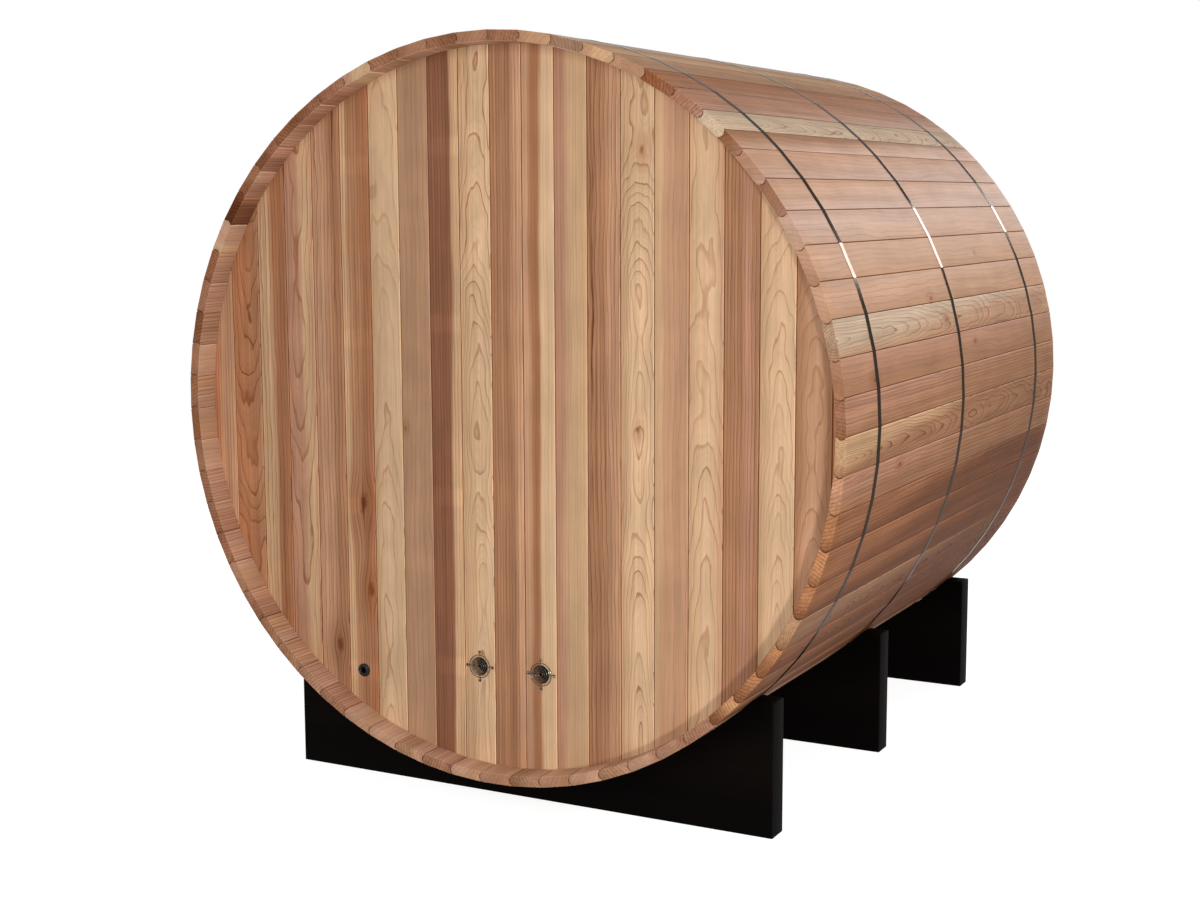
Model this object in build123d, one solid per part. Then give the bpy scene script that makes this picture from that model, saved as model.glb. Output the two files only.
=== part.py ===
from build123d import *
import math
import os

# Barrel sauna, in millimetres. The origin is on the ground under the middle of the barrel.
# The vented end looks towards -Y, the door end towards +Y, and +Z is up.
# Round the barrel, angles run clockwise from the top as seen from the vented end.

# Barrel and staves
barrel_diameter = 1800.0
barrel_length = 1800.0
regular_staves = 65
closing_stave_shares = (0.80, 0.69)
staves_before_closing = 6
first_joint_angle = 5.9
stave_thickness = 26.0
stave_bevel = 1.5
bead_height = 6.0
bead_land = 3.0
staves_per_group = 5

# Gaps between pieces that fit together
joint_gap = 0.3
band_gap = 0.1

# End walls of vertical boards, let into a groove round the staves
end_recess = 66.0
wall_thickness = 26.0
groove_depth = 9.0
board_pitch = 86.7
vent_wall_shift = 18.0
narrowest_board = 30.0
board_bevel = 1.5
tongue_length = 7.0
tongue_thickness = 8.0

# Two vents and a cable gland low in the vented end, each in the middle of a board.
# Boards are counted from the middle one, to the right. The wall's nodes are groups of boards.
left_vent_board_index = -1
right_vent_board_index = 1
gland_board_index = -5
middle_right_board_count = 4
vent_height = 244.0
vent_hole_diameter = 44.0
guard_diameter = 57.0
guard_hub_diameter = 11.0
guard_rings = 5
guard_wire = 1.8
guard_screw_spread = 71.0
guard_eye_diameter = 6.4
guard_stand_off = 0.3
gland_height = 193.0
gland_flange_diameter = 34.0
gland_flange_thickness = 5.0
gland_body_diameter = 25.0
gland_bore_diameter = 14.0
gland_tail = 12.0

# Door end: a doorway as wide as a whole number of boards, with a frame and a boarded door
doorway_boards = 8
doorway_corner_margin = 56.0
frame_width = 38.0
frame_depth = 62.0
frame_stand_out = 18.0
door_gap = 3.0
door_board_count = 7
door_board_thickness = 22.0
ledge_height = 110.0
ledge_thickness = 20.0
ledge_inset = 130.0
ledge_side_margin = 30.0
stop_width = 16.0
stop_thickness = 14.0
hinge_height = 90.0
hinge_leaf_width = 34.0
hinge_leaf_thickness = 2.5
hinge_knuckle_diameter = 10.0
handle_length = 260.0
handle_diameter = 24.0
handle_post_diameter = 16.0
handle_post_length = 15.0
handle_inset = 70.0

# Steel bands and their tensioners
band_width = 20.0
band_thickness = 0.8
band_inset = 213.0
middle_band_offset = -38.0
tensioner_angle = 242.0
lug_spacing = 34.0
lug_height = 24.0
lug_thickness = 4.0
tensioner_bolt_diameter = 8.0
tensioner_bolt_height = 14.0
bolt_head_diameter = 13.0
bolt_head_height = 5.5
bolt_overhang = 9.0

# Cradles
cradle_width = 1350.0
cradle_height = 327.0
cradle_thickness = 68.0
vent_end_cradle_inset = 150.0
door_end_cradle_inset = 68.0
ground_clearance = 78.0
cradle_edge_radius = 3.0

# Derived places
barrel_radius = barrel_diameter / 2
axis_height = barrel_radius + ground_clearance
near_end = -barrel_length / 2
far_end = barrel_length / 2
regular_angle = 360 / (regular_staves + sum(closing_stave_shares))
facet_radius = barrel_radius * math.cos(math.radians(regular_angle / 2))
inner_radius = facet_radius - stave_thickness
groove_radius = inner_radius + groove_depth
wall_radius = groove_radius - joint_gap
near_face = near_end + end_recess
far_face = far_end - end_recess
doorway_width = doorway_boards * board_pitch
doorway_corner_radius = inner_radius - doorway_corner_margin
doorway_half_height = math.sqrt(doorway_corner_radius**2 - (doorway_width / 2) ** 2)

os.makedirs("parts", exist_ok=True)


def save(name, solids):
    """Writes one named piece, or a set of like pieces that don't touch."""
    placed = [Pos(0, 0, axis_height) * solid for solid in solids]
    shape = placed[0] if len(placed) == 1 else Compound(children=placed)
    shape.label = name
    export_step(shape, f"parts/{name}.step")


def block(x_low, x_high, y_low, y_high, z_low, z_high):
    """A box given by its two corners, with heights from the barrel's axis."""
    centre = Pos((x_low + x_high) / 2, (y_low + y_high) / 2, (z_low + z_high) / 2)
    return centre * Box(x_high - x_low, y_high - y_low, z_high - z_low)


def disc(radius, y_low, y_high, x=0.0, z=0.0):
    """A round bar along Y, between two places."""
    return Pos(x, (y_low + y_high) / 2, z) * Rot(90, 0, 0) * Cylinder(radius, y_high - y_low)


def on_ring(angle, radius):
    """The place in X and Z at an angle round the barrel."""
    turn = math.radians(angle)
    return radius * math.sin(turn), radius * math.cos(turn)


# Staves

def stave_spans():
    """Start angle and width of each stave, clockwise from the first joint."""
    widths = [regular_angle] * regular_staves
    closing = [share * regular_angle for share in closing_stave_shares]
    widths[staves_before_closing:staves_before_closing] = closing
    spans = []
    start = first_joint_angle
    for width in widths:
        spans.append((start, width))
        start += width
    return spans


def side_points(width, side, shift):
    """Ends and crest of the bead or cove on one side, moved by a shift towards the bead side."""
    half = math.radians(width / 2) * side
    along = (math.sin(half), math.cos(half))
    across = (math.cos(half), -math.sin(half))
    outer = barrel_radius * math.cos(half) - bead_land
    inner = barrel_radius * math.cos(half) - stave_thickness + bead_land
    points = []
    for height, rise in ((outer, 0), ((outer + inner) / 2, bead_height), (inner, 0)):
        reach = height / along[1]
        out = rise + shift
        points.append((along[0] * reach + across[0] * out, height + across[1] * out))
    return points


def stave(width):
    """One stave standing at the top, a bead on its clockwise side and a cove on the other."""
    top = barrel_radius * math.cos(math.radians(width / 2))
    bottom = top - stave_thickness
    slope = math.tan(math.radians(width / 2))
    half_gap = joint_gap / 2
    bead = side_points(width, 1, -half_gap)
    cove = side_points(width, -1, half_gap)
    top_right = (top * slope - half_gap, top)
    bottom_right = (bottom * slope - half_gap, bottom)
    top_left = (-top_right[0], top)
    bottom_left = (-bottom_right[0], bottom)
    outline = [
        Line((top_left[0] + stave_bevel, top), (top_right[0] - stave_bevel, top)),
        Line((top_right[0] - stave_bevel, top), (top_right[0] - stave_bevel * slope, top - stave_bevel)),
        Line((top_right[0] - stave_bevel * slope, top - stave_bevel), bead[0]),
        ThreePointArc(bead[0], bead[1], bead[2]),
        Line(bead[2], bottom_right),
        Line(bottom_right, bottom_left),
        Line(bottom_left, cove[2]),
        ThreePointArc(cove[2], cove[1], cove[0]),
        Line(cove[0], (top_left[0] + stave_bevel * slope, top - stave_bevel)),
        Line((top_left[0] + stave_bevel * slope, top - stave_bevel), (top_left[0] + stave_bevel, top)),
    ]
    section = make_face(outline)
    body = extrude(Plane.XZ * section, amount=barrel_length / 2, both=True)
    for low in (near_face, far_face - wall_thickness):
        body -= disc(groove_radius, low - joint_gap, low + wall_thickness + joint_gap)
    return body


def make_staves():
    spans = stave_spans()
    regular = stave(regular_angle)
    closing = []
    group = []
    group_number = 0
    for index, (start, width) in enumerate(spans):
        turn = Rot(0, start + width / 2, 0)
        if staves_before_closing <= index < staves_before_closing + len(closing_stave_shares):
            closing.append(turn * stave(width))
            continue
        group.append(turn * regular)
        if len(group) == staves_per_group:
            group_number += 1
            save(f"staves_{group_number:02d}", group)
            group = []
    if group:
        save(f"staves_{group_number + 1:02d}", group)
    save("closing_staves", closing)


# Boards

def board(x_left, x_right, face, inward, z_low, z_high, thickness=wall_thickness):
    """A tongued and grooved board between two joints. Inward is the way from its face to its back."""
    left = x_left + joint_gap / 2
    right = x_right - joint_gap / 2
    middle = thickness / 2
    tongue = tongue_thickness / 2
    slot = tongue + joint_gap
    slot_end = left + tongue_length + joint_gap
    outline = [
        (left + board_bevel, 0),
        (right - board_bevel, 0),
        (right, board_bevel),
        (right, middle - tongue),
        (right + tongue_length, middle - tongue),
        (right + tongue_length, middle + tongue),
        (right, middle + tongue),
        (right, thickness),
        (left, thickness),
        (left, middle + slot),
        (slot_end, middle + slot),
        (slot_end, middle - slot),
        (left, middle - slot),
        (left, board_bevel),
    ]
    corners = [(x, face + inward * depth) for x, depth in outline]
    section = make_face(Polyline(*corners, close=True))
    return Pos(0, 0, z_low) * extrude(section, amount=z_high - z_low, dir=(0, 0, 1))


def wall_boards(shift, face, inward):
    """Boards of a round wall by their place from the middle: shift is the middle of board 0."""
    depth_low, depth_high = sorted((face, face + inward * wall_thickness))
    round_wall = disc(wall_radius, depth_low, depth_high)
    first = math.ceil((-wall_radius + narrowest_board - shift) / board_pitch - 0.5)
    last = math.floor((wall_radius - narrowest_board - shift) / board_pitch + 0.5)
    boards = {}
    for place in range(first, last + 1):
        middle = shift + place * board_pitch
        x_left = middle - board_pitch / 2 if place > first else -wall_radius - tongue_length
        x_right = middle + board_pitch / 2 if place < last else wall_radius + tongue_length
        whole = board(x_left, x_right, face, inward, -wall_radius, wall_radius)
        boards[place] = (whole & round_wall).solids()[0]
    return boards


def fitting_x(place):
    return vent_wall_shift + place * board_pitch


def make_vent_wall():
    boards = wall_boards(vent_wall_shift, near_face, 1)
    vent_z = vent_height - inner_radius
    gland_z = gland_height - inner_radius
    back = near_face + wall_thickness
    for place in (left_vent_board_index, right_vent_board_index):
        boards[place] -= disc(vent_hole_diameter / 2, near_face, back, fitting_x(place), vent_z)
    gland_hole = gland_body_diameter / 2 + joint_gap
    boards[gland_board_index] -= disc(gland_hole, near_face, back, fitting_x(gland_board_index), gland_z)

    def between(low, high):
        return [boards[place] for place in boards if low <= place <= high]

    save("vent_wall_left_boards", between(min(boards), gland_board_index - 1))
    save("gland_board", [boards[gland_board_index]])
    save("vent_wall_middle_left_boards", between(gland_board_index + 1, left_vent_board_index - 1))
    save("left_vent_board", [boards[left_vent_board_index]])
    save("centre_board", between(left_vent_board_index + 1, right_vent_board_index - 1))
    save("right_vent_board", [boards[right_vent_board_index]])
    middle_right_end = right_vent_board_index + middle_right_board_count
    save("vent_wall_middle_right_boards", between(right_vent_board_index + 1, middle_right_end))
    save("vent_wall_right_boards", between(middle_right_end + 1, max(boards)))


# Fittings of the vented end

def wire_ring(diameter, y, x, z):
    return Pos(x, y, z) * Rot(90, 0, 0) * Torus(diameter / 2, guard_wire / 2)


def vent_guard(x, z):
    """Concentric wire rings on four spokes that end in screw eyes."""
    spoke_y = near_face - guard_stand_off - guard_wire / 2
    ring_y = spoke_y - guard_wire * 0.8
    guard = None
    for step in range(guard_rings):
        share = step / (guard_rings - 1)
        diameter = guard_hub_diameter + (guard_diameter - guard_hub_diameter) * share
        ring = wire_ring(diameter, ring_y, x, z)
        guard = ring if guard is None else guard + ring
    eye_reach = guard_screw_spread / 2
    spoke_length = eye_reach - guard_eye_diameter / 2 - guard_hub_diameter / 2 + guard_wire / 2
    spoke_middle = guard_hub_diameter / 2 - guard_wire / 4 + spoke_length / 2
    for quarter in range(4):
        out_x, out_z = on_ring(90 * quarter, 1)
        spoke = Cylinder(guard_wire / 2, spoke_length)
        turned = Rot(0, 90 * quarter, 0) * Pos(0, 0, spoke_middle) * spoke
        guard += Pos(x, spoke_y, z) * turned
        guard += wire_ring(guard_eye_diameter, spoke_y, x + out_x * eye_reach, z + out_z * eye_reach)
    return guard


def cable_gland(x, z):
    """A flanged bush right through the board."""
    front = near_face - joint_gap
    back = near_face + wall_thickness + gland_tail
    flange = disc(gland_flange_diameter / 2, front - gland_flange_thickness, front, x, z)
    rim = flange.edges().group_by(Axis.Y)[0]
    flange = fillet(rim, gland_flange_thickness * 0.4)
    body = disc(gland_body_diameter / 2, front - gland_flange_thickness / 2, back, x, z)
    bore = disc(gland_bore_diameter / 2, front - gland_flange_thickness, back, x, z)
    return flange + body - bore


def make_fittings():
    vent_z = vent_height - inner_radius
    save("left_vent_guard", [vent_guard(fitting_x(left_vent_board_index), vent_z)])
    save("right_vent_guard", [vent_guard(fitting_x(right_vent_board_index), vent_z)])
    save("cable_gland", [cable_gland(fitting_x(gland_board_index), gland_height - inner_radius)])


# Door end

def make_door_wall():
    half = doorway_width / 2
    boards = wall_boards(board_pitch / 2, far_face, -1)
    inside = far_face - wall_thickness
    past_tongue = half + 2 * tongue_length
    opening = block(-half, half, inside, far_face, -doorway_half_height, doorway_half_height)
    gap = block(-past_tongue, past_tongue, inside, far_face, -doorway_half_height, doorway_half_height)
    beside = doorway_boards // 2
    left = [boards[place] - opening for place in boards if place < -beside]
    right = [boards[place] - opening for place in boards if place >= beside]
    over = []
    under = []
    for place in range(-beside, beside):
        low, high = (boards[place] - gap).solids().sort_by(Axis.Z)
        under.append(low)
        over.append(high)
    save("door_wall_left_boards", left)
    save("door_wall_right_boards", right)
    save("door_wall_boards_over_door", over)
    save("door_wall_boards_under_door", under)


def make_door_frame():
    front = far_face + frame_stand_out
    back = front - frame_depth
    half = doorway_width / 2 - joint_gap
    top = doorway_half_height - joint_gap
    inner = half - frame_width
    jamb_top = top - frame_width - joint_gap
    save("door_head", [block(-half, half, back, front, top - frame_width, top)])
    save("door_sill", [block(-half, half, back, front, -top, -top + frame_width)])
    left_jamb = block(-half, -inner, back, front, -jamb_top, jamb_top)
    right_jamb = block(inner, half, back, front, -jamb_top, jamb_top)
    save("door_jambs", [left_jamb, right_jamb])
    stop_front = front - door_board_thickness - joint_gap
    stops = []
    for side in (-1, 1):
        x_low, x_high = sorted((side * (inner - joint_gap), side * (inner - joint_gap - stop_width)))
        stops.append(block(x_low, x_high, stop_front - stop_thickness, stop_front, -jamb_top, jamb_top))
    save("door_stops", stops)


def make_door():
    front = far_face + frame_stand_out
    clear_half = doorway_width / 2 - joint_gap - frame_width
    half = clear_half - door_gap
    top = doorway_half_height - joint_gap - frame_width - door_gap
    pitch = 2 * half / door_board_count
    edge = half + tongue_length + door_gap
    slab = block(-half, half, front - door_board_thickness, front, -top, top)
    boards = []
    for index in range(door_board_count):
        x_left = -half + index * pitch if index else -edge
        x_right = -half + (index + 1) * pitch if index < door_board_count - 1 else edge
        whole = board(x_left, x_right, front, -1, -top, top, door_board_thickness)
        boards.append((whole & slab).solids()[0])
    save("door_boards", boards)

    ledge_half = clear_half - joint_gap - stop_width - ledge_side_margin
    ledge_front = front - door_board_thickness - joint_gap
    ledges = []
    for middle in (-top + ledge_inset, 0.0, top - ledge_inset):
        low = middle - ledge_height / 2
        high = middle + ledge_height / 2
        ledges.append(block(-ledge_half, ledge_half, ledge_front - ledge_thickness, ledge_front, low, high))
    save("door_ledges", ledges)

    hinges = []
    hinge_x = clear_half - door_gap / 2
    for middle in (-top + ledge_inset, top - ledge_inset):
        leaf = block(
            hinge_x - hinge_leaf_width, hinge_x + hinge_leaf_width,
            front, front + hinge_leaf_thickness,
            middle - hinge_height / 2, middle + hinge_height / 2,
        )
        knuckle = Pos(hinge_x, front + hinge_knuckle_diameter / 2, middle)
        hinges.append(leaf + knuckle * Cylinder(hinge_knuckle_diameter / 2, hinge_height))
    save("door_hinges", hinges)

    handle_x = -half + handle_inset
    bar_y = front + handle_post_length + handle_diameter / 2
    handle = Pos(handle_x, bar_y, 0) * Cylinder(handle_diameter / 2, handle_length)
    handle = fillet(handle.edges(), handle_diameter / 4)
    for side in (-1, 1):
        post_z = side * handle_length / 3
        handle += disc(handle_post_diameter / 2, front, bar_y, handle_x, post_z)
    save("door_handle", [handle])


# Bands

def ring_section(corner_radius):
    """A closed outline with one flat for each stave."""
    corners = [on_ring(start, corner_radius) for start, _ in stave_spans()]
    return make_face(Polyline(*corners, close=True))


def flat_at(angle):
    """Middle angle of the stave that lies at an angle."""
    middles = [start + width / 2 for start, width in stave_spans()]
    return min(middles, key=lambda middle: abs(middle - angle))


band_places = (
    near_end + band_inset,
    middle_band_offset,
    far_end - band_inset,
)
band_seat = facet_radius + band_gap


def make_bands():
    inner = ring_section(barrel_radius + band_gap)
    outer = ring_section(barrel_radius + band_gap + band_thickness)
    flat = outer - inner
    turn = Rot(0, flat_at(tensioner_angle), 0)
    slot_half = lug_spacing / 2 - lug_thickness
    names = ("vent_end_band", "middle_band", "door_end_band")
    lugs = []
    bolts = []
    for name, place in zip(names, band_places):
        low = place - band_width / 2
        high = place + band_width / 2
        band = Pos(0, place, 0) * extrude(Plane.XZ * flat, amount=band_width / 2, both=True)
        slot_top = band_seat + 2 * band_thickness
        slot = block(-slot_half, slot_half, low, high, band_seat - 2 * band_thickness, slot_top)
        save(name, [band - turn * slot])
        foot = band_seat + band_thickness
        bolt_z = foot + tensioner_bolt_height
        for side in (-1, 1):
            x_low, x_high = sorted((side * slot_half, side * (slot_half + lug_thickness)))
            lug = block(x_low, x_high, low, high, foot, foot + lug_height)
            hole = Pos(0, place, bolt_z) * Rot(0, 90, 0)
            lug -= hole * Cylinder(tensioner_bolt_diameter / 2 + joint_gap, lug_spacing * 2)
            lugs.append(turn * lug)
        outer_face = slot_half + lug_thickness
        shank_low = -outer_face - joint_gap
        shank_high = outer_face + bolt_overhang
        spot = Pos((shank_low + shank_high) / 2, place, bolt_z) * Rot(0, 90, 0)
        bolt = spot * Cylinder(tensioner_bolt_diameter / 2, shank_high - shank_low)
        for start in (-outer_face - joint_gap - bolt_head_height, outer_face + joint_gap):
            head_spot = Pos(start, place, bolt_z) * Rot(0, 90, 0)
            head = extrude(RegularPolygon(bolt_head_diameter / 2, 6), amount=bolt_head_height)
            bolt += head_spot * head
        bolts.append(turn * bolt)
    save("tensioner_lugs", lugs)
    save("tensioner_bolts", bolts)


# Cradles

def make_cradles():
    names = ("vent_end_cradle", "middle_cradle", "door_end_cradle")
    floor = -axis_height
    half = cradle_width / 2
    first_low = near_end + vent_end_cradle_inset
    last_low = far_end - door_end_cradle_inset - cradle_thickness
    spacing = (last_low - first_low) / (len(names) - 1)
    for number, name in enumerate(names):
        low = first_low + number * spacing
        high = low + cradle_thickness
        reach = (band_width + cradle_thickness) / 2
        crossed = any(abs(place - (low + high) / 2) < reach for place in band_places)
        seat = barrel_radius + joint_gap
        if crossed:
            seat += band_gap + band_thickness
        cradle = block(-half, half, low, high, floor, floor + cradle_height)
        cradle = chamfer(cradle.edges().filter_by(Axis.Z), cradle_edge_radius)
        save(name, [cradle - disc(seat, low, high)])


make_staves()
make_vent_wall()
make_fittings()
make_door_wall()
make_door_frame()
make_door()
make_bands()
make_cradles()
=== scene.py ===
import math
import random

import bmesh
import bpy
import numpy as np
from mathutils import Matrix, Vector


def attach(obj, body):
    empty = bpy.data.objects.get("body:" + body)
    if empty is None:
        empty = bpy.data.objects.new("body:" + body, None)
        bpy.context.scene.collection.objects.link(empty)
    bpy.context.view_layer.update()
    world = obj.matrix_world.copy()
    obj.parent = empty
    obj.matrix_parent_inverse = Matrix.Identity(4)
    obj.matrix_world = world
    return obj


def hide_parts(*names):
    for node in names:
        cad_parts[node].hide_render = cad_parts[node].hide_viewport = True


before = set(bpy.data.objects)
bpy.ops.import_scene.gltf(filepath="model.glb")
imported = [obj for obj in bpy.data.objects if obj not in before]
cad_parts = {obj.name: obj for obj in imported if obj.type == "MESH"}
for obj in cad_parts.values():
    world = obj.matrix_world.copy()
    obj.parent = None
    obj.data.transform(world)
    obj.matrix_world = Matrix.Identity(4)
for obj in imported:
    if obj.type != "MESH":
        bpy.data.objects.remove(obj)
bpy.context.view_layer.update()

# Barrel sauna in metres. The vented end looks towards -Y, and +Z is up.
# Round the barrel, angles run clockwise from the top as seen from the vented end.

RADIUS = 0.9
AXIS_HEIGHT = 0.978
HALF_LENGTH = 0.9
REGULAR_STAVES = 65
CLOSING_SHARES = (0.80, 0.69)
STAVES_BEFORE_CLOSING = 6
STAVES_PER_GROUP = 5
FIRST_JOINT = 5.9
STAVE_THICKNESS = 0.026
STAVE_BEVEL = 0.0020
BOARD_BEVEL = 0.0022
BEAD_HEIGHT = 0.006
BEAD_LAND = 0.003
GROOVE_DEPTH = 0.009
GAP = 0.0003
TUBE_SIDES = 10
STAVE_EASE = 0.0016
END_EASE = 0.0011
ARRIS = ((1, 0), (0.84, 0.06), (0.06, 0.84), (0, 1))  # shares of an edge's two legs, round its bevel

STAVE_ANGLE = 360 / (REGULAR_STAVES + sum(CLOSING_SHARES))
FACET_RADIUS = RADIUS * math.cos(math.radians(STAVE_ANGLE / 2))
INNER_RADIUS = FACET_RADIUS - STAVE_THICKNESS
GROOVE_RADIUS = INNER_RADIUS + GROOVE_DEPTH
WALL_RADIUS = GROOVE_RADIUS - GAP
WALL_THICKNESS = 0.026
WALL_FACE = HALF_LENGTH - 0.066
BOARD_PITCH = 0.0867
TONGUE = 0.007
VENT_WALL_SHIFT = 0.018
DOORWAY_BOARDS = 8
DOORWAY_HALF = DOORWAY_BOARDS * BOARD_PITCH / 2
DOORWAY_TOP = math.sqrt((INNER_RADIUS - 0.056) ** 2 - DOORWAY_HALF**2)

X, Y, Z = np.eye(3)
AXIS = np.array([0, 0, AXIS_HEIGHT])


# Materials

def tone(code):
    """Linear colour of a display colour code."""
    values = [int(code[i:i + 2], 16) / 255 for i in (0, 2, 4)]
    return tuple(v / 12.92 if v <= 0.04045 else ((v + 0.055) / 1.055) ** 2.4 for v in values)


# wood_edge is +1 on bevels that get a painted highlight and -1 on bevels that get painted shade
FACE_FLAGS = ("wood_end", "wood_edge", "wood_seam")
PALE_END = (1.5, 1.65, 1.6)
STREAK_TINT = (0.45, 0.30, 0.24)
VEIN_TINT = (0.42, 0.22, 0.14)
HALO_TINT = (0.74, 0.57, 0.45)
KNOT_TINT = (0.45, 0.29, 0.21)
# Tint of dark joints, also used for painted shade on bevels
JOINT_SHADE_TINT = (0.36, 0.24, 0.17)
WHITE = (1.0, 1.0, 1.0, 1.0)


class Wire:
    """A node's output. Sums, differences, products and quotients of wires are math nodes."""

    def __init__(self, graph, socket):
        self.graph, self.socket = graph, socket

    def __add__(self, other):
        return self.graph.math("ADD", self, other)

    def __sub__(self, other):
        return self.graph.math("SUBTRACT", self, other)

    def __mul__(self, other):
        return self.graph.math("MULTIPLY", self, other)

    def __truediv__(self, other):
        return self.graph.math("DIVIDE", self, other)


class Graph:
    """The node tree of a material or a world, with short calls for the nodes used most."""

    def __init__(self, owner):
        self.owner = owner
        owner.use_nodes = True
        self.nodes, self.links = owner.node_tree.nodes, owner.node_tree.links
        self.nodes.clear()

    def node(self, kind, inputs=(), output=0, **settings):
        """A new node's output. Inputs are given in order, or by name or number in a dict."""
        made = self.nodes.new("ShaderNode" + kind)
        for name, value in settings.items():
            setattr(made, name, value)
        for key, value in inputs.items() if isinstance(inputs, dict) else enumerate(inputs):
            if isinstance(value, Wire):
                self.links.new(value.socket, made.inputs[key])
            else:
                made.inputs[key].default_value = value
        return Wire(self, made.outputs[output])

    def finish(self, shader, output="OutputMaterial"):
        """Ends the tree with a shader, and gives its material or world."""
        self.links.new(shader.socket, self.nodes.new("ShaderNode" + output).inputs[0])
        return self.owner

    def principled(self, **inputs):
        inputs = {name.replace("_", " "): value for name, value in inputs.items()}
        return self.finish(self.node("BsdfPrincipled", inputs))

    def math(self, operation, *values):
        return self.node("Math", values, operation=operation)

    def most(self, a, b):
        return self.math("MAXIMUM", a, b)

    def length(self, a, b):
        return self.math("SQRT", a * a + b * b)

    def step(self, value, low, high, start=0.0, end=1.0):
        """A smooth step between two values."""
        return self.node("MapRange", (value, low, high, start, end), interpolation_type="SMOOTHSTEP")

    def attribute(self, name, output):
        return self.node("Attribute", (), output, attribute_type="GEOMETRY", attribute_name=name)

    def layer(self, name):
        """The three values of a mesh attribute."""
        return self.split(self.attribute(name, "Vector"))

    def split(self, vector):
        part = self.node("SeparateXYZ", [vector])
        return [Wire(self, socket) for socket in part.socket.node.outputs]

    def join(self, x, y, z):
        return self.node("CombineXYZ", (x, y, z))

    def noise(self, vector, scale=1.0, detail=2.0, output=0):
        return self.node("TexNoise", {"Vector": vector, "Scale": scale, "Detail": detail}, output)

    def mix(self, share, a, b, blend="MIX"):
        a, b = (value if isinstance(value, Wire) else (*value, 1.0) for value in (a, b))
        return self.node("Mix", {0: share, 6: a, 7: b}, 2, data_type="RGBA", blend_type=blend)

    def tint(self, color, share, tint):
        return self.mix(share, color, tint, "MULTIPLY")

    def scale_color(self, color, factor):
        return self.node("VectorMath", {0: color, "Scale": factor}, operation="SCALE")

    def bump(self, height, strength, distance):
        return self.node("Bump", {"Height": height, "Strength": strength, "Distance": distance})

    def object_place(self):
        return self.node("TexCoord", output="Object")


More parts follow.
